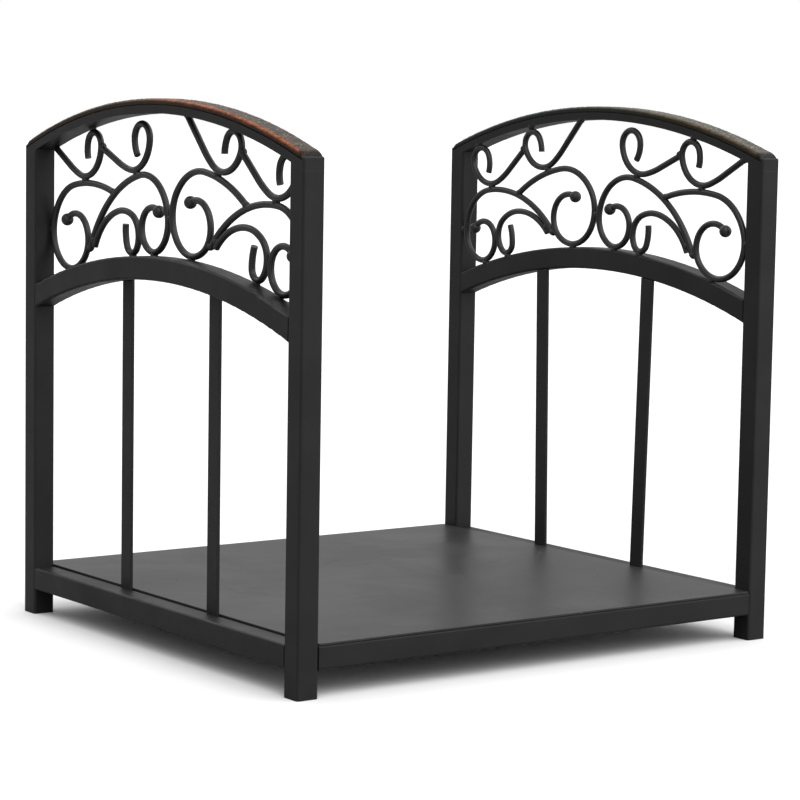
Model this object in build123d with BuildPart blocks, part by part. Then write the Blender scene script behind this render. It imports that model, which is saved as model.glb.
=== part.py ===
"""Firewood log rack: two arched steel end frames with scrollwork, joined by a flat log tray.

X runs along the rack from the left end frame to the right one, Y from front to back, Z up.
The origin is on the ground under the middle of the rack. Lengths are millimetres.
"""

import os
from math import cos, radians, sin, sqrt

from build123d import *

os.makedirs("parts", exist_ok=True)

# Overall size
LENGTH = 475.0           # outer face to outer face of the end frames, along X
DEPTH = 430.0            # front face to back face of the posts, along Y
TUBE = 19.0              # side of the square tube
TUBE_WALL = 1.2
TUBE_CORNER = 2.0        # outer corner radius of the square tube
FOOT_HEIGHT = 21.5       # underside of the rails above the ground

# Arches
ARCH_RADIUS = 600.0      # top face of the lower arch, and also the underside of the top arch
LOWER_ARCH_CROWN = 320.0 # height of the top face of the lower arch in the middle
SCROLL_HEIGHT = 114.0    # clear height between the two arches
TOP_BAR = 6.5            # thickness of the flat bar that forms the top arch
CAP_THICK = 5.5          # thickness of the embossed strip on the top arch
LIP_THICK = 2.3          # upturned lip at each end of the top bar
LIP_HEIGHT = 4.0         # above the top of the bar at its end
LIP_RADIUS = 1.5
CAP_GAP = 0.3            # between the end of the cap strip and the lip
CAP_END_RADIUS = 4.5     # rounded ends of the cap strip
CAP_EDGE_RADIUS = 1.2

# Pickets
PICKET_WIDTH = 15.0
PICKET_THICK = 3.0
PICKET_EDGE = 0.6        # eased long edges of a picket
PICKET_PLACE = 67.5      # foot of a picket from the middle of the frame
PICKET_LEAN = {"left": 0.0, "right": 6.0}   # how far the picket tops spread outwards

# Scroll rods
ROD = 5.5                # rod diameter
BALL = 10.5              # forged ball at the end of a rod
MODULE_PITCH = 187.5     # distance between the two scroll groups along the lower arch
WELD = 3.2               # radius of a weld bead
WELD_REACH = 2.5         # widest gap that is closed with a bead

# Tray
PANEL_THICK = 1.6
JOINT_GAP = 0.4          # play between the tray and the end frames
PANEL_CORNER = 2.0
PANEL_EDGE = 0.5         # eased upper edge of the panel
BOLT = 6.0
BOLT_HEAD_FLATS = 10.0
BOLT_HEAD_THICK = 4.0
BOLT_LENGTH = 30.0
BOLT_PLACE = 120.0       # bolts from the middle of the rack, along Y
INSERT_OUTSIDE = 9.0     # threaded insert diameter
INSERT_LENGTH = 13.0

# Worked out from the sizes above
INNER_HALF = DEPTH / 2 - TUBE                    # middle of the frame to the inside of a post
RAIL_TOP = FOOT_HEIGHT + TUBE
LOWER_CENTRE = LOWER_ARCH_CROWN - ARCH_RADIUS    # height of the centre of the lower arch
TOP_CENTRE = LOWER_CENTRE + SCROLL_HEIGHT        # height of the centre of the top arch
TRAY_HALF = LENGTH / 2 - TUBE - JOINT_GAP        # half length of the tray
MODULE_ANGLE = MODULE_PITCH / ARCH_RADIUS        # radians
ROD_PLANE = -TUBE / 2 + ROD / 2                  # rods lie flush with the inner face of the frame
PICKET_PLANE = -TUBE / 2 + PICKET_THICK / 2      # so do the pickets
SIDES = {"left": -1, "right": 1}
PLACES = (-1, 1)                                 # the two ends of a frame, along its own first axis


def arc_height(centre, radius, across):
    """Height of an arch of this centre height and radius, this far from its middle."""
    return centre + sqrt(radius**2 - across**2)


def frame_plane(side, height=0.0):
    """Middle plane of an end frame, facing outwards. The two frames are one design turned half round."""
    sign = SIDES[side]
    middle = sign * (LENGTH - TUBE) / 2
    return Plane(origin=(middle, 0, height), x_dir=(0, sign, 0), z_dir=(sign, 0, 0))


def place_name(side, place):
    """Front or back, for one end of a frame."""
    return "front" if place * SIDES[side] < 0 else "back"


def save(part, name):
    """Label a part and write its file."""
    part.label = name
    export_step(part, f"parts/{name}.step")


def band(inner, outer, centre, half_width):
    """Outline between two arcs with one centre, cut off upright at both ends."""
    points = []
    for radius in (inner, outer):
        end = arc_height(centre, radius, half_width)
        points.append(((-half_width, end), (0, centre + radius), (half_width, end)))
    low, high = points
    ThreePointArc(*low)
    Line(low[2], high[2])
    ThreePointArc(*reversed(high))
    Line(high[0], low[0])


# ---------------------------------------------------------------- end frames

def make_post(side, place):
    """Upright tube, cut to the slope of the top arch."""
    inner_edge = place * INNER_HALF
    outer_edge = place * DEPTH / 2
    middle = (inner_edge + outer_edge) / 2
    with BuildPart() as post:
        with BuildSketch(Plane.XY) as section:
            sign = SIDES[side]
            with Locations((sign * (LENGTH - TUBE) / 2, sign * middle)):
                RectangleRounded(TUBE, TUBE, TUBE_CORNER)
                Rectangle(TUBE - 2 * TUBE_WALL, TUBE - 2 * TUBE_WALL, mode=Mode.SUBTRACT)
        extrude(amount=LOWER_ARCH_CROWN + SCROLL_HEIGHT)
        with BuildSketch(frame_plane(side, TOP_CENTRE)) as under_arch:
            Circle(ARCH_RADIUS)
        extrude(amount=TUBE, both=True, mode=Mode.INTERSECT)
    return post.part


def make_bottom_rail(side):
    """Square tube between the feet of the posts."""
    sign = SIDES[side]
    section_plane = Plane(
        origin=(sign * (LENGTH - TUBE) / 2, 0, FOOT_HEIGHT + TUBE / 2),
        x_dir=(1, 0, 0),
        z_dir=(0, -1, 0),
    )
    with BuildPart() as rail:
        with BuildSketch(section_plane):
            RectangleRounded(TUBE, TUBE, TUBE_CORNER)
            Rectangle(TUBE - 2 * TUBE_WALL, TUBE - 2 * TUBE_WALL, mode=Mode.SUBTRACT)
        extrude(amount=INNER_HALF, both=True)
        hole_plane = Plane(
            origin=(sign * (LENGTH / 2 - TUBE), 0, FOOT_HEIGHT + TUBE / 2),
            x_dir=(0, sign, 0),
            z_dir=(sign, 0, 0),
        )
        with BuildSketch(hole_plane):
            with Locations((-BOLT_PLACE, 0), (BOLT_PLACE, 0)):
                Circle(INSERT_OUTSIDE / 2)
        extrude(amount=TUBE_WALL, mode=Mode.SUBTRACT)
    return rail.part


def make_lower_arch(side):
    """Square tube rolled to an arc between the posts."""
    plane = frame_plane(side)
    with BuildPart() as arch:
        with BuildSketch(plane):
            with BuildLine():
                band(ARCH_RADIUS - TUBE, ARCH_RADIUS, LOWER_CENTRE, INNER_HALF)
            make_face()
        extrude(amount=TUBE / 2, both=True)
        long_edges = arch.edges().filter_by(GeomType.CIRCLE)
        fillet(long_edges, TUBE_CORNER)
        with BuildSketch(plane):
            with BuildLine():
                band(
                    ARCH_RADIUS - TUBE + TUBE_WALL,
                    ARCH_RADIUS - TUBE_WALL,
                    LOWER_CENTRE,
                    INNER_HALF,
                )
            make_face()
        extrude(amount=TUBE / 2 - TUBE_WALL, both=True, mode=Mode.SUBTRACT)
    return arch.part


def make_top_arch(side):
    """Flat bar bent over the posts, with a lip at each end that covers the end of the cap strip."""
    upper = ARCH_RADIUS + TOP_BAR
    bar_end = arc_height(TOP_CENTRE, upper, DEPTH / 2)
    lip_middle = (DEPTH - LIP_THICK) / 2
    with BuildPart() as bar:
        with BuildSketch(frame_plane(side)):
            with BuildLine():
                band(ARCH_RADIUS, upper, TOP_CENTRE, DEPTH / 2)
            make_face()
            for place in PLACES:
                with Locations((place * lip_middle, bar_end)):
                    Rectangle(LIP_THICK, 2 * LIP_HEIGHT)
        extrude(amount=TUBE / 2, both=True)
        upright = bar.edges().filter_by(Axis.Z)
        corners = upright.filter_by(lambda edge: abs(edge.center().Y) > lip_middle)
        fillet(corners, TUBE_CORNER)
        crosswise = bar.edges().filter_by(Axis.X)
        lip_tops = crosswise.group_by(Axis.Z)[-1]
        outer_tops = lip_tops.filter_by(lambda edge: abs(edge.center().Y) > lip_middle)
        fillet(outer_tops, LIP_RADIUS)
    return bar.part


def make_cap_strip(side):
    """Embossed strip on the top bar, with rounded upper ends and eased long edges."""
    inner = ARCH_RADIUS + TOP_BAR
    with BuildPart() as strip:
        with BuildSketch(frame_plane(side)):
            with BuildLine():
                band(inner, inner + CAP_THICK, TOP_CENTRE, DEPTH / 2 - LIP_THICK - CAP_GAP)
            make_face()
        extrude(amount=TUBE / 2, both=True)
        crosswise = strip.edges().filter_by(Axis.X)
        upper_ends = crosswise.group_by(Axis.Z)[-1]
        fillet(upper_ends, CAP_END_RADIUS)
        outer_edges = strip.faces().sort_by(Axis.Z)[-1].edges().filter_by(GeomType.CIRCLE)
        fillet(outer_edges, CAP_EDGE_RADIUS)
    return strip.part


def make_picket(side, place):
    """Flat bar between the bottom rail and the underside of the lower arch."""
    reach = LOWER_ARCH_CROWN - RAIL_TOP
    lean = place * PICKET_LEAN[side]
    foot = place * PICKET_PLACE
    half = PICKET_WIDTH / 2
    with BuildPart() as picket:
        plane = frame_plane(side, RAIL_TOP).offset(PICKET_PLANE)
        with BuildSketch(plane):
            with BuildLine():
                Polyline(
                    (foot - half, 0),
                    (foot + half, 0),
                    (foot + lean + half, reach),
                    (foot + lean - half, reach),
                    close=True,
                )
            make_face()
            with Locations((0, LOWER_CENTRE - RAIL_TOP)):
                Circle(ARCH_RADIUS - TUBE, mode=Mode.INTERSECT)
        extrude(amount=PICKET_THICK / 2, both=True)
        long_edges = picket.edges().filter_by(lambda edge: edge.length > PICKET_WIDTH)
        fillet(long_edges, PICKET_EDGE)
    return picket.part


# ---------------------------------------------------------------- scrollwork
# Each rod is bent cold: a start, a heading in degrees and a list of bends (radius, turn),
# left turns positive, then a straight tail. Places are measured in a module's own frame,
# whose origin is on the top face of the lower arch, with the second axis pointing outwards
# from the centre of the arch.

SCROLLS = {
    "tendril": {
        "start": (81, 30.3), "heading": 136, "ball": True, "tail": 0,
        "bends": [(17, 124), (19, 122), (26, 66), (38.5, 94.3), (111, 51.2), (30, 12.5)],
    },
    "big_loop": {
        "start": (-70.3, 41.4), "heading": 34, "ball": True, "tail": 0,
        "bends": [(21.5, -171), (31, -86), (31, -75), (45, -61), (139, -28)],
    },
    "small_loop": {
        "start": (-26.44, 13.88), "heading": 56.3, "ball": False, "tail": 0,
        "bends": [(55.2, -53.3), (37, -33), (19, -98), (9, -132), (40, -25)],
    },
    "tendril_hook": {
        "start": (54, 79.5), "heading": 119, "ball": False, "tail": 31,
        "bends": [(22, -39), (12, -185), (27.5, -94), (78, -13)],
    },
    "loop_hook": {
        "start": (-27, 88), "heading": 99, "ball": False, "tail": 44,
        "bends": [(24, -31), (11.3, -174), (27.5, -102), (94, -10)],
    },
}

# Rods drawn a little too long, and the neighbour each one is cut to fit
FITTED_TAILS = {"big_loop": "tendril", "tendril_hook": "loop_hook"}

# Where the rods of one module are welded side by side, and to the lower arch
ROD_WELDS = [
    ("tendril", "tendril_hook"),
    ("tendril", "small_loop"),
    ("big_loop", "loop_hook"),
    ("tendril", "lower_arch"),
    ("big_loop", "lower_arch"),
    ("small_loop", "lower_arch"),
]
HOOKS = ("tendril_hook", "loop_hook")


def bend_rod(start, heading, bends, tail):
    """Draw the centre line of a rod and return its start and first heading."""
    x, y = start
    y = y + ARCH_RADIUS
    for radius, turn in bends:
        angle = radians(heading)
        JernArc(start=(x, y), tangent=(cos(angle), sin(angle)), radius=radius, arc_size=turn)
        side = 1 if turn > 0 else -1
        heading = heading + turn
        last = radians(heading)
        x = x + side * radius * (sin(last) - sin(angle))
        y = y - side * radius * (cos(last) - cos(angle))
    if tail:
        last = radians(heading)
        Line((x, y), (x + tail * cos(last), y + tail * sin(last)))


def module_plane(side, place):
    """Plane of one scroll group, turned about the centre of the lower arch."""
    sign = SIDES[side]
    turn = place * MODULE_ANGLE / 2
    middle = sign * ((LENGTH - TUBE) / 2 + ROD_PLANE)
    return Plane(
        origin=(middle, 0, LOWER_CENTRE),
        x_dir=(0, sign * cos(turn), -sin(turn)),
        z_dir=(sign, 0, 0),
    )


def make_scroll(side, place, start, heading, bends, tail, ball):
    """One bent rod, with its forged ball where it has one, and its centre line."""
    with BuildPart() as rod:
        with BuildLine(module_plane(side, place)) as path:
            bend_rod(start, heading, bends, tail)
        first_point = path.line @ 0
        with BuildSketch(Plane(origin=first_point, z_dir=path.line % 0)):
            Circle(ROD / 2)
        sweep()
        if ball:
            with Locations(first_point):
                Sphere(BALL / 2)
        with BuildSketch(frame_plane(side, TOP_CENTRE)):
            Circle(ARCH_RADIUS)
        extrude(amount=TUBE, both=True, mode=Mode.INTERSECT)
    return rod.part, path.line


def cut_to_fit(rod, neighbour):
    """The longest piece of a rod that is left outside its neighbour."""
    with BuildPart() as fitted:
        add(rod)
        add(neighbour, mode=Mode.SUBTRACT)
    with BuildPart() as kept:
        add(fitted.solids().sort_by(SortBy.VOLUME)[-1])
    return kept.part


def cut_face_middle(rod, tail_point):
    """Middle of the face that was cut at the tail of a rod."""
    middles = [face.center() for face in rod.faces()]
    return min(middles, key=lambda middle: (middle - tail_point).length)


def contact_point(one, other):
    """Middle of the narrow gap between two pieces that almost touch."""
    gap, on_one, on_other = one.distance_to_with_closest_points(other)
    return (on_one + on_other) / 2


def crown_welds(line, arch):
    """Point under the arch where the tightest curl of a hook reaches it, if it comes close enough."""
    curl = line.edges().filter_by(GeomType.CIRCLE).sort_by(SortBy.RADIUS)[0]
    gap, on_curl, on_arch = curl.distance_to_with_closest_points(arch)
    if gap < ROD / 2 + WELD_REACH:
        return [on_arch]
    return []


def make_welds(spots, neighbours):
    """Weld beads of one frame, each filling the notch between the pieces it joins."""
    with BuildPart() as welds:
        with Locations(*spots):
            Sphere(WELD)
        for neighbour in neighbours:
            add(neighbour, mode=Mode.SUBTRACT)
    return welds.part


# ---------------------------------------------------------------- tray

def make_tray_rail(place):
    """Front or back rail of the tray, flush with the outer faces of the posts."""
    section = Plane(
        origin=(0, place * (DEPTH - TUBE) / 2, FOOT_HEIGHT + TUBE / 2),
        x_dir=(0, 1, 0),
        z_dir=(1, 0, 0),
    )
    with BuildPart() as rail:
        with BuildSketch(section):
            RectangleRounded(TUBE, TUBE, TUBE_CORNER)
            Rectangle(TUBE - 2 * TUBE_WALL, TUBE - 2 * TUBE_WALL, mode=Mode.SUBTRACT)
        extrude(amount=TRAY_HALF, both=True)
    return rail.part


def make_tray_side(side):
    """Rail under one end of the panel, drilled for the two bolts."""
    sign = SIDES[side]
    outer = sign * TRAY_HALF
    centre = sign * (TRAY_HALF - TUBE / 2)
    middle_height = FOOT_HEIGHT + TUBE / 2
    with BuildPart() as rail:
        with BuildSketch(Plane(origin=(centre, 0, middle_height), x_dir=(1, 0, 0), z_dir=(0, -1, 0))):
            RectangleRounded(TUBE, TUBE, TUBE_CORNER)
            Rectangle(TUBE - 2 * TUBE_WALL, TUBE - 2 * TUBE_WALL, mode=Mode.SUBTRACT)
        extrude(amount=INNER_HALF, both=True)
        with BuildSketch(Plane(origin=(outer, 0, middle_height), x_dir=(0, 1, 0), z_dir=(-sign, 0, 0))):
            with Locations((-BOLT_PLACE, 0), (BOLT_PLACE, 0)):
                Circle(BOLT / 2 + JOINT_GAP)
        extrude(amount=TUBE, mode=Mode.SUBTRACT)
    return rail.part


def make_panel():
    """Flat steel sheet lying on the four rails of the tray."""
    with BuildPart() as panel:
        with BuildSketch(Plane.XY.offset(RAIL_TOP)):
            RectangleRounded(2 * TRAY_HALF, DEPTH, PANEL_CORNER)
        extrude(amount=PANEL_THICK)
        fillet(panel.faces().sort_by(Axis.Z)[-1].edges(), PANEL_EDGE)
    return panel.part


def bolt_plane(side):
    """Plane on the inner face of a tray side rail, facing the end frame."""
    sign = SIDES[side]
    inner_face = sign * (TRAY_HALF - TUBE)
    return Plane(
        origin=(inner_face, 0, FOOT_HEIGHT + TUBE / 2),
        x_dir=(0, 1, 0),
        z_dir=(sign, 0, 0),
    )


def make_bolts():
    """Four hexagon bolts through the side rails, heads towards the middle of the rack."""
    with BuildPart() as bolts:
        for side in SIDES:
            seat = bolt_plane(side)
            with BuildSketch(seat):
                with Locations((-BOLT_PLACE, 0), (BOLT_PLACE, 0)):
                    RegularPolygon(BOLT_HEAD_FLATS / 2, 6, major_radius=False)
            extrude(amount=-BOLT_HEAD_THICK)
            with BuildSketch(seat):
                with Locations((-BOLT_PLACE, 0), (BOLT_PLACE, 0)):
                    Circle(BOLT / 2)
            extrude(amount=BOLT_LENGTH)
    return bolts.part


def make_inserts():
    """Four rivet nuts set in the bottom rails of the end frames, one for each bolt."""
    with BuildPart() as inserts:
        for side in SIDES:
            seat = bolt_plane(side).offset(TUBE + JOINT_GAP)
            with BuildSketch(seat):
                with Locations((-BOLT_PLACE, 0), (BOLT_PLACE, 0)):
                    Circle(INSERT_OUTSIDE / 2)
                    Circle(BOLT / 2, mode=Mode.SUBTRACT)
            extrude(amount=INSERT_LENGTH)
    return inserts.part


# ---------------------------------------------------------------- build and save

def build_module(side, place, pieces):
    """The five rods of one scroll group, by node name, and the places of their weld beads."""
    rods = {}
    lines = {}
    for scroll, shape in SCROLLS.items():
        rods[scroll], lines[scroll] = make_scroll(side, place, **shape)
    for scroll, neighbour in FITTED_TAILS.items():
        rods[scroll] = cut_to_fit(rods[scroll], rods[neighbour])
    spots = [contact_point(Vertex(lines["tendril"] @ 1), rods["big_loop"])]
    for scroll in ("big_loop", "tendril_hook", "loop_hook"):
        spots.append(cut_face_middle(rods[scroll], lines[scroll] @ 1))
    for one, other in ROD_WELDS:
        spots.append(contact_point(rods[one], pieces.get(other) or rods[other]))
    for hook in HOOKS:
        spots.extend(crown_welds(lines[hook], pieces["top_arch"]))
    name = place_name(side, place)
    return {f"{scroll}_{name}": rod for scroll, rod in rods.items()}, spots


def build_frame(side):
    """All the pieces of one end frame, by name."""
    pieces = {}
    for place in PLACES:
        name = place_name(side, place)
        pieces[f"post_{name}"] = make_post(side, place)
        pieces[f"picket_{name}"] = make_picket(side, place)
    pieces["bottom_rail"] = make_bottom_rail(side)
    pieces["lower_arch"] = make_lower_arch(side)
    pieces["top_arch"] = make_top_arch(side)
    pieces["cap_strip"] = make_cap_strip(side)
    weld_spots = []
    scrolls = {}
    for place in PLACES:
        rods, spots = build_module(side, place, pieces)
        weld_spots.extend(spots)
        scrolls.update(rods)
    first, last = (place_name(side, place) for place in PLACES)
    weld_spots.append(contact_point(scrolls[f"tendril_{first}"], scrolls[f"big_loop_{last}"]))
    weld_spots.append(contact_point(scrolls[f"big_loop_{first}"], pieces[f"post_{first}"]))
    weld_spots.append(contact_point(scrolls[f"tendril_{last}"], pieces[f"post_{last}"]))
    pieces.update(scrolls)
    pieces["welds"] = make_welds(weld_spots, list(pieces.values()))
    return pieces


for side in SIDES:
    for name, piece in build_frame(side).items():
        save(piece, f"{side}_{name}")
    save(make_tray_side(side), f"tray_{side}_rail")
save(make_tray_rail(-1), "tray_front_rail")
save(make_tray_rail(1), "tray_back_rail")
save(make_panel(), "tray_panel")
save(make_bolts(), "tray_bolts")
save(make_inserts(), "tray_inserts")
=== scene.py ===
"""Looks of the firewood log rack: finishes, embossed cap strips, floor, light and camera.

Everything is in metres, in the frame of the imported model: X along the rack, Y from front to back, Z up.
"""

from math import cos, pi, radians, sin, sqrt

import bpy
from mathutils import Matrix, Vector, noise


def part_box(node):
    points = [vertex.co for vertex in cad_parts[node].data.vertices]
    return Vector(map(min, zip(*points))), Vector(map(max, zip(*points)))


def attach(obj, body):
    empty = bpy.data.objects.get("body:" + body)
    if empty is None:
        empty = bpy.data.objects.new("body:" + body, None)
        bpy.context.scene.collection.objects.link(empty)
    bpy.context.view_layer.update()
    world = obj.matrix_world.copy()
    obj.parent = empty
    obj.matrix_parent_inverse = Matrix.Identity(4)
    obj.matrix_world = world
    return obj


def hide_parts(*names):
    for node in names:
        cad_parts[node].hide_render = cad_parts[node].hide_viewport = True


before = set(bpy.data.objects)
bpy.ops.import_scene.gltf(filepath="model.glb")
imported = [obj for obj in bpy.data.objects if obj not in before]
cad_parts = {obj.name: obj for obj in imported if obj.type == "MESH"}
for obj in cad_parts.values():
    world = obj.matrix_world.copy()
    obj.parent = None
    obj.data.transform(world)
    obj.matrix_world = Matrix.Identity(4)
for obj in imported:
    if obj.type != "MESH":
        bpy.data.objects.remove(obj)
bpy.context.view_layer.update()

MM = 0.001

# Sheet of the cap strips
CAP_THICK = 5.5 * MM
CAP_EDGE_RADIUS = 2.6 * MM     # rolled upper edges
CAP_END_RADIUS = 4.5 * MM      # rounded ends
CAP_LIP_HEIGHT = 0.9 * MM      # the sheet stands off the bar below by this
CAP_LIP_INSET = 1.5 * MM       # and what is under it is set back by this
EMBOSS_DEPTH = 0.45 * MM
EMBOSS_PITCH = 2.6 * MM        # size of one embossed scale
EMBOSS_WARP = 11 * MM          # distance over which the rows of scales wander
EMBOSS_STEP = 0.55 * MM        # spacing of the mesh that carries the relief
SIDE_RIPPLE = 0.15 * MM        # unevenness of the rolled sides
SIDE_RIPPLE_PITCH = 9 * MM
SCALE_STRETCH = 0.75           # less than 1 makes the scales longer along the strip
SCALE_STEEPNESS = 2.2          # how soon a scale rises from the groove round it
DOME_SHARE = 0.65              # of the relief: the same for every scale
DENT_SHARE = 0.35              # of the relief: uneven from place to place
SIDE_ROWS = 6                  # mesh rows up the side of a strip
CORNER_STEPS = 5               # mesh steps round its rolled edge
CREASE_ANGLE = 50              # degrees: sharper edges of the mesh are shaded as corners

# Finish of the cap strips
COLOUR_DRIFT = 0.12            # how far the change from bright to dull wanders, in metres
DRIFT_PITCH = 50 * MM
STREAK_PITCH = 14 * MM
WASH_PITCH = 7 * MM
MOTTLE_PITCH = 1.7 * MM
FLECK_PITCH = 2.3 * MM
CAP_SMEAR_PITCH = 4 * MM
CAP_PEEL_PITCH = 1.1 * MM
CAP_PEEL_HEIGHT = 0.05 * MM
END_SHADE_START = 9 * MM       # painted shade: the rounded ends darken from this distance to the tip
END_SHADE_FULL = 2 * MM

# Powder coat of the frame and rods: distances between marks, and heights of the relief
BLOTCH_PITCH = 45 * MM
GRAIN_PITCH = 0.9 * MM
GRAIN_HEIGHT = 0.015 * MM
SPECK_PITCH = 16 * MM
SPECK_SIZE = 0.035             # as a share of the pitch
SMEAR_PITCH = 70 * MM
PEEL_PITCH = 1.6 * MM
PEEL_HEIGHT = 0.05 * MM
WEAR_RADIUS = 1.2 * MM
WEAR_PATCH_PITCH = 9 * MM

# Coat of the tray sheet
PANEL_BLOTCH_PITCH = 120 * MM
PANEL_GRAIN_PITCH = 1.1 * MM
PANEL_SPECK_PITCH = 11 * MM
PANEL_SPECK_SIZE = 0.04
PANEL_PEEL_PITCH = 1.8 * MM
PANEL_PEEL_HEIGHT = 0.03 * MM
PANEL_DENT_PITCH = 90 * MM
PANEL_DENT_HEIGHT = 0.25 * MM
SCRATCH_DEPTH = 0.01 * MM
SCRATCH_BREAK = 55 * MM        # length of the stretches that show
SCRATCH_WOBBLE = 0.03          # how far an arc wanders, in metres
SCRATCH_WOBBLE_SCALE = 9.0

# Middle of each set of scratches on the sheet, in metres, and scratches per metre out from it
SCRATCH_ARCS = ((0.09, -0.05, 34), (-0.12, 0.12, 47), (0.02, 0.22, 41))

# Plating of the bolts and inserts, and coat of the welds
CLOUD_PITCH = 3 * MM
PLATE_GRAIN_PITCH = 0.5 * MM
PLATE_GRAIN_HEIGHT = 0.01 * MM
WELD_TONE_PITCH = 2 * MM
WELD_SMEAR_PITCH = 5 * MM
WELD_RIPPLE_PITCH = 1.3 * MM
WELD_RIPPLE_HEIGHT = 0.25 * MM

# Surroundings
FLOOR_REACH = 30.0
FLOOR_TONE = 0.88              # as the camera sees it
FLOOR_BOUNCE = 0.33            # tone of the floor for the light it throws back on the rack
FLOOR_PATCH_PITCH = 0.4        # metres
FLOOR_UNEVENNESS = 0.03
SURROUND_LIGHT = (0.5, 0.95)   # near the ground and overhead
SURROUND_SPAN = (-0.3, 0.7)    # part of the direction's Z over which it changes
SIDE_LIGHT = (0.66, 1.12)      # share of it from the left and from the right
SIDE_SPAN = (-0.7, 0.5)        # the same, of its X
FRONT_LIGHT = (0.82, 1.62)     # share of it from the back and from the front
FRONT_SPAN = (0.8, -0.8)       # the same, of its Y

# Large soft lamps: place they shine from, strength, angle they fill in degrees
LAMPS = {
    "key": ((-0.8, -2.2, 2.9), 1.05, 50),
    "fill": ((2.4, -2.4, 1.6), 0.35, 60),
    "back": ((-0.3, 3.0, 2.4), 0.6, 50),
}

# Camera
CAMERA_PLACE = (-1.3448, -1.8715, 0.4409)
CAMERA_AZIMUTH = 35.859        # degrees from +Y towards +X
CAMERA_ELEVATION = -6.113
CAMERA_ROLL = 0.966
CAMERA_LENS = 122.4            # millimetres, on a 36 mm sensor
CAMERA_REACH = 200             # metres


# ---------------------------------------------------------------- node helpers

def new_material(name):
    """A material with its node tree and its main shader."""
    material = bpy.data.materials.new(name)
    material.use_nodes = True
    tree = material.node_tree
    return material, tree, tree.nodes["Principled BSDF"]


def add_node(tree, kind, inputs=None, **settings):
    """Add a node. An input is either a socket to link from or a plain value."""
    node = tree.nodes.new(kind)
    for name, value in settings.items():
        setattr(node, name, value)
    for name, value in (inputs or {}).items():
        connect(tree, value, node.inputs[name])
    return node


def connect(tree, value, socket):
    """Link a socket, or set a plain value."""
    if isinstance(value, bpy.types.NodeSocket):
        tree.links.new(value, socket)
    else:
        socket.default_value = value


def object_place(tree):
    """Place on the object, in metres."""
    return add_node(tree, "ShaderNodeTexCoord").outputs["Object"]


def stretched(tree, place, factors):
    """The same place, scaled along each axis."""
    inputs = {0: place, 1: factors}
    return add_node(tree, "ShaderNodeVectorMath", inputs, operation="MULTIPLY").outputs["Vector"]


def noise_value(tree, place, pitch, detail=2.0, roughness=0.5, distortion=0.0):
    """Noise from 0 to 1, with features about this pitch apart."""
    inputs = {
        "Vector": place,
        "Scale": 1 / pitch,
        "Detail": detail,
        "Roughness": roughness,
        "Distortion": distortion,
    }
    return add_node(tree, "ShaderNodeTexNoise", inputs).outputs["Fac"]


def ramp(tree, value, low, high, to_low=0.0, to_high=1.0):
    """Smooth step of a value from one range to another."""
    inputs = {
        "Value": value,
        "From Min": low,
        "From Max": high,
        "To Min": to_low,
        "To Max": to_high,
    }
    node = add_node(tree, "ShaderNodeMapRange", inputs, interpolation_type="SMOOTHSTEP")
    return node.outputs["Result"]


def combine(tree, operation, one, other):
    """Arithmetic on two values."""
    node = add_node(tree, "ShaderNodeMath", operation=operation)
    connect(tree, one, node.inputs[0])
    connect(tree, other, node.inputs[1])
    return node.outputs["Value"]


def times(tree, one, other):
    """One value times another."""
    return combine(tree, "MULTIPLY", one, other)


def plus(tree, one, other):
    """One value plus another."""
    return combine(tree, "ADD", one, other)


def weighted(tree, one, one_share, other, other_share):
    """Sum of two values, each with its share."""
    return plus(tree, times(tree, one, one_share), times(tree, other, other_share))


def mix_colours(tree, factor, one, other):
    """Blend from one colour to another."""
    node = add_node(tree, "ShaderNodeMix", data_type="RGBA")
    connect(tree, factor, node.inputs["Factor"])
    connect(tree, one, node.inputs["A"])
    connect(tree, other, node.inputs["B"])
    return node.outputs["Result"]


def grey(value):
    """A neutral colour."""
    return (value, value, value, 1.0)


def bump(tree, height, distance, below=None):
    """Bump of this full height in metres, over another bump if one is given."""
    node = add_node(tree, "ShaderNodeBump", {"Height": height, "Distance": distance, "Strength": 1.0})
    if below is not None:
        connect(tree, below, node.inputs["Normal"])
    return node.outputs["Normal"]


def edge_wear(tree, place, radius):
    """Mask of worn edges: strongest on sharp corners, broken up by noise."""
    rounded = add_node(tree, "ShaderNodeBevel", {"Radius": radius}, samples=4).outputs["Normal"]
    plain = add_node(tree, "ShaderNodeNewGeometry").outputs["Normal"]
    same = add_node(tree, "ShaderNodeVectorMath", operation="DOT_PRODUCT")
    connect(tree, rounded, same.inputs[0])
    connect(tree, plain, same.inputs[1])
    sharp = ramp(tree, same.outputs["Value"], 0.99, 0.8)
    patches = ramp(tree, noise_value(tree, place, WEAR_PATCH_PITCH, 4, 0.7), 0.42, 0.62)
    return times(tree, sharp, patches)


def dust_specks(tree, place, pitch, size):
    """Mask of sparse pale specks of uneven size."""
    inputs = {"Vector": place, "Scale": 1 / pitch, "Randomness": 1.0}
    cells = add_node(tree, "ShaderNodeTexVoronoi", inputs)
    near_centre = ramp(tree, cells.outputs["Distance"], size, size * 0.4)
    channels = add_node(tree, "ShaderNodeSeparateColor", {"Color": cells.outputs["Color"]})
    chosen = ramp(tree, channels.outputs["Red"], 0.8, 0.95)
    return times(tree, near_centre, chosen)


# ---------------------------------------------------------------- materials

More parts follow.
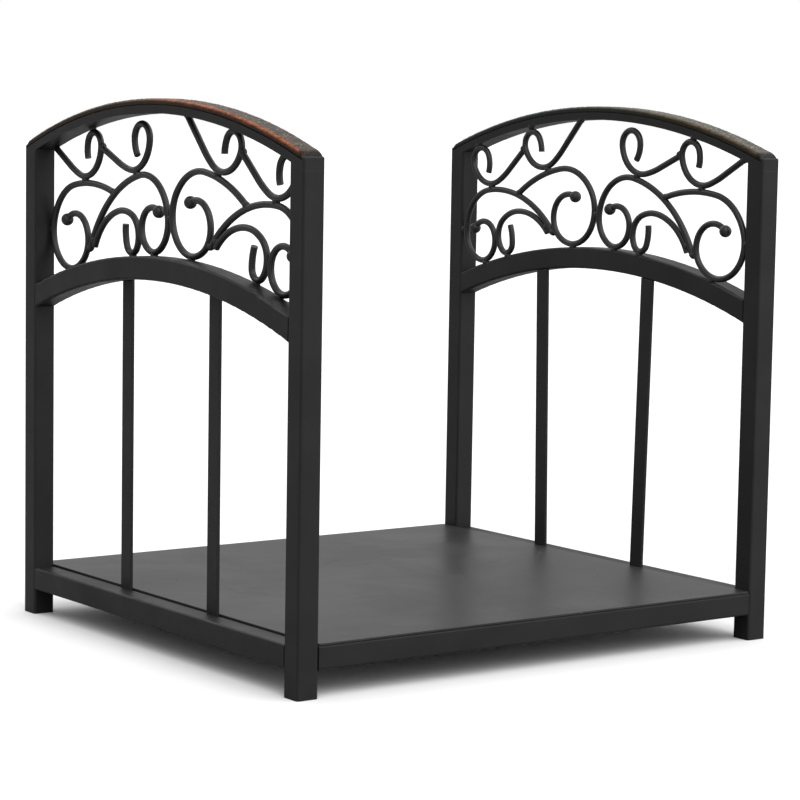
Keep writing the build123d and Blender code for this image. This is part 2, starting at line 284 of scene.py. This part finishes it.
COAT_DARK = grey(0.008)
COAT_PALE = grey(0.014)
SPECK_GREY = grey(0.12)
WORN_GREY = grey(0.045)
WELD_DARK = grey(0.009)
WELD_PALE = grey(0.02)
PANEL_DARK = (0.016, 0.0155, 0.0155, 1)
PANEL_PALE = (0.026, 0.025, 0.025, 1)
PANEL_DUST = grey(0.13)
SCRATCH_GREY = (0.085, 0.083, 0.082, 1)
ZINC_DULL = (0.42, 0.42, 0.40, 1)
ZINC_BRIGHT = (0.60, 0.61, 0.60, 1)
# pale flecks on the cap tops, partly painted glints
CAP_FLECK_AND_GLINT = (0.32, 0.30, 0.27, 1)
# painted shade at the rounded tips of the cap strips
CAP_END_PAINTED_SHADE = (0.014, 0.012, 0.010, 1)


def powder_coat(name, dark, pale, roughness, gloss):
    """Near-black satin powder coat with orange peel, faint blotches, specks and rubbed edges."""
    material, tree, shader = new_material(name)
    place = object_place(tree)
    blotches = noise_value(tree, place, BLOTCH_PITCH, 4, 0.6)
    grain = noise_value(tree, place, GRAIN_PITCH, 3, 0.6)
    tone = weighted(tree, blotches, 0.6, grain, 0.4)
    colour = mix_colours(tree, ramp(tree, tone, 0.3, 0.7), dark, pale)
    specks = dust_specks(tree, place, SPECK_PITCH, SPECK_SIZE)
    colour = mix_colours(tree, times(tree, specks, 0.8), colour, SPECK_GREY)
    wear = edge_wear(tree, place, WEAR_RADIUS)
    colour = mix_colours(tree, times(tree, wear, 0.5), colour, WORN_GREY)
    connect(tree, colour, shader.inputs["Base Color"])
    smears = noise_value(tree, place, SMEAR_PITCH, 5, 0.65, 0.6)
    dullness = ramp(tree, smears, 0.3, 0.7, roughness - 0.05, roughness + 0.07)
    worn_dullness = combine(tree, "SUBTRACT", dullness, times(tree, wear, 0.1))
    connect(tree, worn_dullness, shader.inputs["Roughness"])
    shader.inputs["Specular IOR Level"].default_value = gloss
    peel = bump(tree, noise_value(tree, place, PEEL_PITCH, 2, 0.5), PEEL_HEIGHT)
    fine = bump(tree, grain, GRAIN_HEIGHT, peel)
    connect(tree, fine, shader.inputs["Normal"])
    return material


def panel_coat():
    """The tray sheet: the same coat, rubbed by logs into faint curved scratches."""
    material, tree, shader = new_material("panel_coat")
    place = object_place(tree)
    blotches = noise_value(tree, place, PANEL_BLOTCH_PITCH, 5, 0.6, 0.4)
    grain = noise_value(tree, place, PANEL_GRAIN_PITCH, 3, 0.6)
    tone = weighted(tree, blotches, 0.7, grain, 0.3)
    colour = mix_colours(tree, ramp(tree, tone, 0.3, 0.7), PANEL_DARK, PANEL_PALE)
    scratches = swirl_scratches(tree, place)
    colour = mix_colours(tree, times(tree, scratches, 0.35), colour, SCRATCH_GREY)
    dust = dust_specks(tree, place, PANEL_SPECK_PITCH, PANEL_SPECK_SIZE)
    colour = mix_colours(tree, times(tree, dust, 0.6), colour, PANEL_DUST)
    connect(tree, colour, shader.inputs["Base Color"])
    dullness = ramp(tree, blotches, 0.3, 0.7, 0.36, 0.46)
    scratched = plus(tree, dullness, times(tree, scratches, 0.12))
    connect(tree, scratched, shader.inputs["Roughness"])
    shader.inputs["Specular IOR Level"].default_value = 0.3
    dents = bump(tree, noise_value(tree, place, PANEL_DENT_PITCH, 1, 0.4), PANEL_DENT_HEIGHT)
    peel = bump(tree, noise_value(tree, place, PANEL_PEEL_PITCH, 2, 0.5), PANEL_PEEL_HEIGHT, dents)
    connect(tree, bump(tree, scratches, SCRATCH_DEPTH, peel), shader.inputs["Normal"])
    return material


def swirl_scratches(tree, place):
    """Mask of thin arcs, left where split logs were turned on the sheet."""
    mask = None
    for centre_x, centre_y, per_metre in SCRATCH_ARCS:
        inputs = {0: place, 1: (centre_x, centre_y, 0)}
        shift = add_node(tree, "ShaderNodeVectorMath", inputs, operation="SUBTRACT").outputs["Vector"]
        inputs = {"Vector": shift, "Scale": SCRATCH_WOBBLE_SCALE, "Detail": 3.0}
        wobble = add_node(tree, "ShaderNodeTexNoise", inputs).outputs["Fac"]
        reach = add_node(tree, "ShaderNodeVectorMath", {0: shift}, operation="LENGTH").outputs["Value"]
        distance = plus(tree, reach, times(tree, wobble, SCRATCH_WOBBLE))
        rings = combine(tree, "SINE", times(tree, distance, per_metre * 2 * pi), 0.0)
        thin = ramp(tree, rings, 0.985, 1.0)
        broken = ramp(tree, noise_value(tree, place, SCRATCH_BREAK, 3, 0.6), 0.56, 0.68)
        arcs = times(tree, thin, broken)
        mask = arcs if mask is None else combine(tree, "MAXIMUM", mask, arcs)
    return mask


def cap_metal(name, edge, foot, back_edge, back_foot, top_dark, top_pale_and_glint, front, back):
    """Antiqued sheet metal of a cap strip.

    The sides run from a bright rolled edge down to a dark foot. Along the strip they change from
    bright at the place front to dull at the place back. The embossed top is speckled between a
    dark wash and rubbed metal, paler on the scales partly as painted glints of the embossed facets.
    """
    material, tree, shader = new_material(name)
    place = object_place(tree)
    axes = add_node(tree, "ShaderNodeSeparateXYZ", {"Vector": place})
    sides = cap_sides(tree, place, axes.outputs["Y"], edge, foot, back_edge, back_foot, front, back)
    top = cap_top(tree, place, top_dark, top_pale_and_glint)
    colour = mix_colours(tree, ramp(tree, point_value(tree, "top"), 0.7, 1.0), sides, top)
    from_middle = combine(tree, "ABSOLUTE", axes.outputs["Y"], 0.0)
    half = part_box("left_cap_strip")[1].y
    # Painted shade: each cap strip darkens to near black towards its rounded tips
    ends = ramp(tree, from_middle, half - END_SHADE_START, half - END_SHADE_FULL)
    colour = mix_colours(tree, times(tree, ends, 0.9), colour, CAP_END_PAINTED_SHADE)
    connect(tree, colour, shader.inputs["Base Color"])
    shader.inputs["Metallic"].default_value = 0.7
    shader.inputs["Specular IOR Level"].default_value = 0.2
    dullness = ramp(tree, noise_value(tree, place, CAP_SMEAR_PITCH, 4, 0.7), 0.3, 0.7, 0.36, 0.54)
    connect(tree, dullness, shader.inputs["Roughness"])
    peel = bump(tree, noise_value(tree, place, CAP_PEEL_PITCH, 3, 0.6), CAP_PEEL_HEIGHT)
    connect(tree, peel, shader.inputs["Normal"])
    return material


def point_value(tree, name):
    """Value that the mesh carries at its points under this name."""
    return add_node(tree, "ShaderNodeAttribute", attribute_name=name).outputs["Fac"]


def cap_sides(tree, place, along, edge, foot, back_edge, back_foot, front, back):
    """Streaky colour up the sides of a cap strip, bright at the front and dull at the back."""
    drift = times(tree, noise_value(tree, place, DRIFT_PITCH, 4, 0.6), COLOUR_DRIFT)
    shift = COLOUR_DRIFT / 2
    warmth = ramp(tree, plus(tree, along, drift), back + shift, front + shift)
    streaks = noise_value(tree, stretched(tree, place, (3, 1, 3)), STREAK_PITCH, 5, 0.65)
    unevenness = times(tree, combine(tree, "SUBTRACT", streaks, 0.5), 0.9)
    up_side = ramp(tree, plus(tree, point_value(tree, "rise"), unevenness), 0.3, 0.95)
    bright = mix_colours(tree, up_side, foot, edge)
    dull = mix_colours(tree, up_side, back_foot, back_edge)
    colour = mix_colours(tree, warmth, dull, bright)
    washes = noise_value(tree, stretched(tree, place, (2, 1, 2)), WASH_PITCH, 5, 0.7)
    wash = ramp(tree, washes, 0.40, 0.66)
    return mix_colours(tree, times(tree, wash, 0.75), colour, foot)


def cap_top(tree, place, top_dark, top_pale_and_glint):
    """Speckled colour of the embossed top: dark in the hollows, pale scales, a few pale flecks; partly
    painted glints.
    """
    mottle = noise_value(tree, place, MOTTLE_PITCH, 4, 0.75)
    # Painted glints in part: the scale tops and a few flecks are paler than the hollows
    speckle = weighted(tree, point_value(tree, "relief"), 0.55, mottle, 0.6)
    colour = mix_colours(tree, ramp(tree, speckle, 0.3, 0.82), top_dark, top_pale_and_glint)
    flecks = ramp(tree, noise_value(tree, place, FLECK_PITCH, 3, 0.6), 0.64, 0.72)
    return mix_colours(tree, times(tree, flecks, 0.5), colour, CAP_FLECK_AND_GLINT)


def zinc():
    """Bright plated bolts and inserts with a cloudy passivated film."""
    material, tree, shader = new_material("zinc_plate")
    place = object_place(tree)
    cloud = noise_value(tree, place, CLOUD_PITCH, 4, 0.6)
    colour = mix_colours(tree, ramp(tree, cloud, 0.35, 0.65), ZINC_DULL, ZINC_BRIGHT)
    connect(tree, colour, shader.inputs["Base Color"])
    shader.inputs["Metallic"].default_value = 1.0
    connect(tree, ramp(tree, cloud, 0.3, 0.7, 0.28, 0.45), shader.inputs["Roughness"])
    plate_grain = bump(tree, noise_value(tree, place, PLATE_GRAIN_PITCH, 2), PLATE_GRAIN_HEIGHT)
    connect(tree, plate_grain, shader.inputs["Normal"])
    return material


def weld_coat():
    """Weld beads under the coat: the same black, with ripples and a glossier skin."""
    material, tree, shader = new_material("weld_coat")
    place = object_place(tree)
    tone = noise_value(tree, place, WELD_TONE_PITCH, 3)
    colour = mix_colours(tree, tone, WELD_DARK, WELD_PALE)
    connect(tree, colour, shader.inputs["Base Color"])
    dullness = ramp(tree, noise_value(tree, place, WELD_SMEAR_PITCH), 0.3, 0.7, 0.32, 0.45)
    connect(tree, dullness, shader.inputs["Roughness"])
    shader.inputs["Specular IOR Level"].default_value = 0.35
    ripples = bump(tree, noise_value(tree, place, WELD_RIPPLE_PITCH, 2, 0.5, 0.8), WELD_RIPPLE_HEIGHT)
    connect(tree, ripples, shader.inputs["Normal"])
    return material


# ---------------------------------------------------------------- cap strips

def cap_circle(side):
    """Radius of the underside of a cap strip and the height of its centre, from its box."""
    low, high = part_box(f"{side}_cap_strip")
    crown = high.z - CAP_THICK
    half = (high.y - low.y) / 2
    rise = crown - low.z
    radius = (half**2 + rise**2) / (2 * rise)
    return radius, crown - radius


def cap_section(width):
    """Section of a cap strip, from one foot over the top to the other.

    Each point is its place across, its height and its share of the relief.
    """
    edge = width / 2
    shoulder = CAP_THICK - CAP_EDGE_RADIUS
    inset = edge - CAP_LIP_INSET
    side = [(inset, 0, 0), (inset, CAP_LIP_HEIGHT, 0), (edge, CAP_LIP_HEIGHT, 0)]
    for row in range(1, SIDE_ROWS + 1):
        side.append((edge, CAP_LIP_HEIGHT + (shoulder - CAP_LIP_HEIGHT) * row / SIDE_ROWS, 0))
    for step in range(1, CORNER_STEPS):
        angle = pi / 2 * step / CORNER_STEPS
        across = edge - CAP_EDGE_RADIUS * (1 - cos(angle))
        side.append((across, shoulder + CAP_EDGE_RADIUS * sin(angle), step / CORNER_STEPS))
    flat = 2 * (edge - CAP_EDGE_RADIUS)
    columns = round(flat / EMBOSS_STEP)
    top = [(flat * (column / columns - 0.5), CAP_THICK, 1) for column in range(columns + 1)]
    return [(-across, height, share) for across, height, share in side] + top + side[::-1]


def embossing(across, along):
    """Height of the relief at a place on the strip, 0 in the hollows and 1 on the tops of the scales."""
    warp = noise.noise_vector(Vector((across, along, 0)) / EMBOSS_WARP) * EMBOSS_PITCH
    place = Vector((across + warp.x, (along + warp.y) * SCALE_STRETCH, 0)) / EMBOSS_PITCH
    nearest, second = noise.voronoi(place)[0][:2]
    dome = min(1.0, (second - nearest) * SCALE_STEEPNESS)
    dents = 0.5 + 0.5 * noise.noise(Vector((across, along, 0)) / (2 * EMBOSS_PITCH))
    return dome * (DOME_SHARE + DENT_SHARE * dents)


def make_cap(side, material):
    """Embossed strip over the top bar of one end frame, with real relief in its mesh."""
    low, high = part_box(f"{side}_cap_strip")
    radius, centre = cap_circle(side)
    middle = (low.x + high.x) / 2
    section = cap_section(high.x - low.x)
    half = (high.y - low.y) / 2
    stations = round(2 * half / EMBOSS_STEP)
    points = []
    values = {"relief": [], "rise": [], "top": []}
    for station in range(stations + 1):
        along = low.y + 2 * half * station / stations
        from_end = half - abs(along)
        fall = 0.0
        if from_end < CAP_END_RADIUS:
            fall = CAP_END_RADIUS - sqrt(CAP_END_RADIUS**2 - (CAP_END_RADIUS - from_end) ** 2)
        squeeze = 1 - fall / CAP_THICK
        for across, height, share in section:
            lift = embossing(across, along)
            wave = noise.noise(Vector((height * 2, along, middle)) / SIDE_RIPPLE_PITCH)
            ripple = SIDE_RIPPLE * (0.5 + 0.5 * wave)
            tucked = across - (1 - share) * ripple * (1 if across > 0 else -1)
            raised = height * squeeze - EMBOSS_DEPTH * share * (1 - lift) * squeeze
            points.append((middle + tucked, along, centre + sqrt((radius + raised) ** 2 - along**2)))
            values["relief"].append(lift)
            values["rise"].append(height / CAP_THICK)
            values["top"].append(share)
    return cap_mesh(side, points, values, len(section), material)


def cap_mesh(side, points, values, count, material):
    """Skin the sections of a cap strip, close its ends and put it in place of its CAD node."""
    sections = len(points) // count
    faces = []
    for section in range(sections - 1):
        start = section * count
        for corner in range(count):
            following = (corner + 1) % count
            above = start + count
            faces.append((start + corner, start + following, above + following, above + corner))
    faces.append(tuple(range(count))[::-1])
    faces.append(tuple(range(len(points) - count, len(points))))
    mesh = bpy.data.meshes.new(f"{side}_cap")
    mesh.from_pydata(points, [], faces)
    for name, numbers in values.items():
        mesh.attributes.new(name, "FLOAT", "POINT").data.foreach_set("value", numbers)
    mesh.materials.append(material)
    mesh.polygons.foreach_set("use_smooth", [True] * len(mesh.polygons))
    mesh.set_sharp_from_angle(angle=radians(CREASE_ANGLE))
    mesh.validate()
    cap = bpy.data.objects.new(f"{side}_embossed_cap", mesh)
    bpy.context.scene.collection.objects.link(cap)
    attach(cap, "root")
    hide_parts(f"{side}_cap_strip")
    return cap


# ---------------------------------------------------------------- finishes

frame_coat = powder_coat("frame_coat", COAT_DARK, COAT_PALE, 0.47, 0.25)
rod_coat = powder_coat("rod_coat", COAT_DARK, COAT_PALE, 0.36, 0.42)
weld_finish = weld_coat()
panel_finish = panel_coat()
zinc_finish = zinc()
ROD_NAMES = ("tendril", "loop", "hook")

for name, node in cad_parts.items():
    if name == "tray_panel":
        finish = panel_finish
    elif name in ("tray_bolts", "tray_inserts"):
        finish = zinc_finish
    elif name.endswith("_welds"):
        finish = weld_finish
    elif any(rod in name for rod in ROD_NAMES):
        finish = rod_coat
    else:
        finish = frame_coat
    for slot in node.material_slots:
        slot.material = finish

copper = cap_metal(
    "copper_strip",
    edge=(0.37, 0.105, 0.036, 1),
    foot=(0.042, 0.018, 0.008, 1),
    back_edge=(0.055, 0.038, 0.022, 1),
    back_foot=(0.026, 0.019, 0.011, 1),
    top_dark=(0.030, 0.023, 0.018, 1),
    top_pale_and_glint=(0.18, 0.145, 0.120, 1),
    front=-0.10,
    back=0.08,
)
bronze = cap_metal(
    "bronze_strip",
    edge=(0.115, 0.080, 0.045, 1),
    foot=(0.030, 0.025, 0.015, 1),
    back_edge=(0.036, 0.047, 0.042, 1),
    back_foot=(0.020, 0.028, 0.025, 1),
    top_dark=(0.045, 0.042, 0.033, 1),
    top_pale_and_glint=(0.25, 0.24, 0.20, 1),
    front=-0.12,
    back=0.04,
)
make_cap("left", copper)
make_cap("right", bronze)


# ---------------------------------------------------------------- floor, light and camera

def make_floor():
    """Pale, slightly uneven floor far larger than the rack.

    It throws back less light on the rack than a floor of the tone that the camera sees.
    """
    material, tree, shader = new_material("pale_floor")
    place = object_place(tree)
    patches = noise_value(tree, place, FLOOR_PATCH_PITCH, 4)
    seen = add_node(tree, "ShaderNodeLightPath").outputs["Is Camera Ray"]
    inputs = {"Factor": seen, "A": FLOOR_BOUNCE, "B": FLOOR_TONE}
    tone = add_node(tree, "ShaderNodeMix", inputs, data_type="FLOAT")
    level = plus(tree, tone.outputs["Result"], times(tree, patches, FLOOR_UNEVENNESS))
    connect(tree, level, shader.inputs["Base Color"])
    shader.inputs["Roughness"].default_value = 0.9
    shader.inputs["Specular IOR Level"].default_value = 0.1
    reach = FLOOR_REACH
    mesh = bpy.data.meshes.new("floor")
    corners = [(-reach, -reach, 0), (reach, -reach, 0), (reach, reach, 0), (-reach, reach, 0)]
    mesh.from_pydata(corners, [], [(0, 1, 2, 3)])
    mesh.materials.append(material)
    floor = bpy.data.objects.new("floor", mesh)
    bpy.context.scene.collection.objects.link(floor)


def make_lamp(name, place, strength, angle):
    """Distant soft lamp that shines from a place towards the rack, evenly over the whole floor."""
    light = bpy.data.lights.new(name, "SUN")
    light.energy = strength
    light.angle = radians(angle)
    lamp = bpy.data.objects.new(name, light)
    bpy.context.scene.collection.objects.link(lamp)
    lamp.rotation_mode = "QUATERNION"
    lamp.rotation_quaternion = (-Vector(place)).to_track_quat("-Z", "Y")


def make_world():
    """Studio surroundings, darker towards the ground, the left and the back.

    The camera itself sees them as plain white.
    """
    world = bpy.data.worlds.new("studio")
    bpy.context.scene.world = world
    world.use_nodes = True
    tree = world.node_tree
    backdrop = tree.nodes["Background"]
    direction = add_node(tree, "ShaderNodeTexCoord").outputs["Generated"]
    axes = add_node(tree, "ShaderNodeSeparateXYZ", {"Vector": direction})
    overhead = ramp(tree, axes.outputs["Z"], *SURROUND_SPAN, *SURROUND_LIGHT)
    from_side = ramp(tree, axes.outputs["X"], *SIDE_SPAN, *SIDE_LIGHT)
    from_front = ramp(tree, axes.outputs["Y"], *FRONT_SPAN, *FRONT_LIGHT)
    shade = times(tree, times(tree, overhead, from_side), from_front)
    seen = add_node(tree, "ShaderNodeLightPath").outputs["Is Camera Ray"]
    inputs = {"Factor": seen, "A": shade, "B": 1.0}
    strength = add_node(tree, "ShaderNodeMix", inputs, data_type="FLOAT")
    connect(tree, strength.outputs["Result"], backdrop.inputs["Strength"])
    backdrop.inputs["Color"].default_value = grey(1.0)


def make_camera():
    """Camera at the place, direction and roll worked out for the view."""
    azimuth = radians(CAMERA_AZIMUTH)
    elevation = radians(CAMERA_ELEVATION)
    roll = radians(CAMERA_ROLL)
    forward = Vector((cos(elevation) * sin(azimuth), cos(elevation) * cos(azimuth), sin(elevation)))
    level = Vector((cos(azimuth), -sin(azimuth), 0))
    upright = level.cross(forward)
    right = level * cos(roll) + upright * sin(roll)
    up = upright * cos(roll) - level * sin(roll)
    camera = bpy.data.objects.new("camera", bpy.data.cameras.new("camera"))
    bpy.context.scene.collection.objects.link(camera)
    turn = Matrix((right, up, -forward)).transposed()
    camera.matrix_world = Matrix.Translation(CAMERA_PLACE) @ turn.to_4x4()
    camera.data.lens = CAMERA_LENS
    camera.data.clip_end = CAMERA_REACH
    bpy.context.scene.camera = camera


make_floor()
make_world()
for name, (place, strength, angle) in LAMPS.items():
    make_lamp(name, place, strength, angle)
make_camera()
bpy.context.scene.view_settings.view_transform = "Standard"
